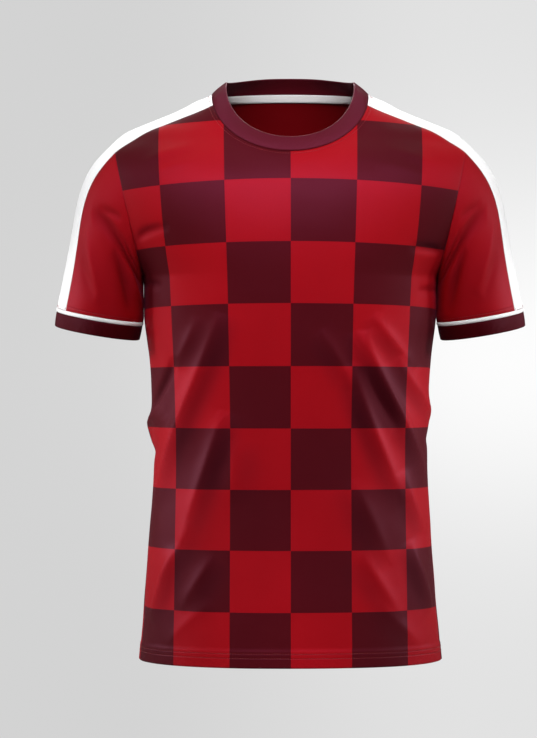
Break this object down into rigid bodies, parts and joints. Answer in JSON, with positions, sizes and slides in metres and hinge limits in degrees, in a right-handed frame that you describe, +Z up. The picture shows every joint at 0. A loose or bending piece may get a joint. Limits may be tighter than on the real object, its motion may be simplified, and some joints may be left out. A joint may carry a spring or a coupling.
{
  "type": "football jersey",
  "caption": "Short-sleeved football jersey with a checked front, white shoulder and sleeve stripes, ribbed crew collar and cuffs, hollow and filled out as worn.",
  "frame": {"origin": "midway between the shoulders, level with the sides of the neck, where the wearer carries the garment", "axes": "+Z up along the body, -Y towards the front of the garment, +X towards the wearer's left"},
  "size_m": [0.6046, 0.2386, 0.7502],
  "materials": {
    "check_knit": "smooth polyester knit with a soft sheen, red with maroon checks",
    "red_knit": "smooth polyester knit with a soft sheen",
    "white_knit": "smooth white polyester knit, matt",
    "maroon_rib": "fine rib knit, matt"
  },
  "bodies": {
    "root": {"front_panel": "check_knit", "back_panel": "red_knit", "sleeve_left": "red_knit", "sleeve_right": "red_knit", "shoulder_stripe_left": "white_knit", "shoulder_stripe_right": "white_knit", "sleeve_stripe_left": "white_knit", "sleeve_stripe_right": "white_knit", "cuff_piping_left": "white_knit", "cuff_piping_right": "white_knit", "cuff_left": "maroon_rib", "cuff_right": "maroon_rib", "collar": "maroon_rib", "neck_tape": "white_knit"}
  },
  "joints": []
}
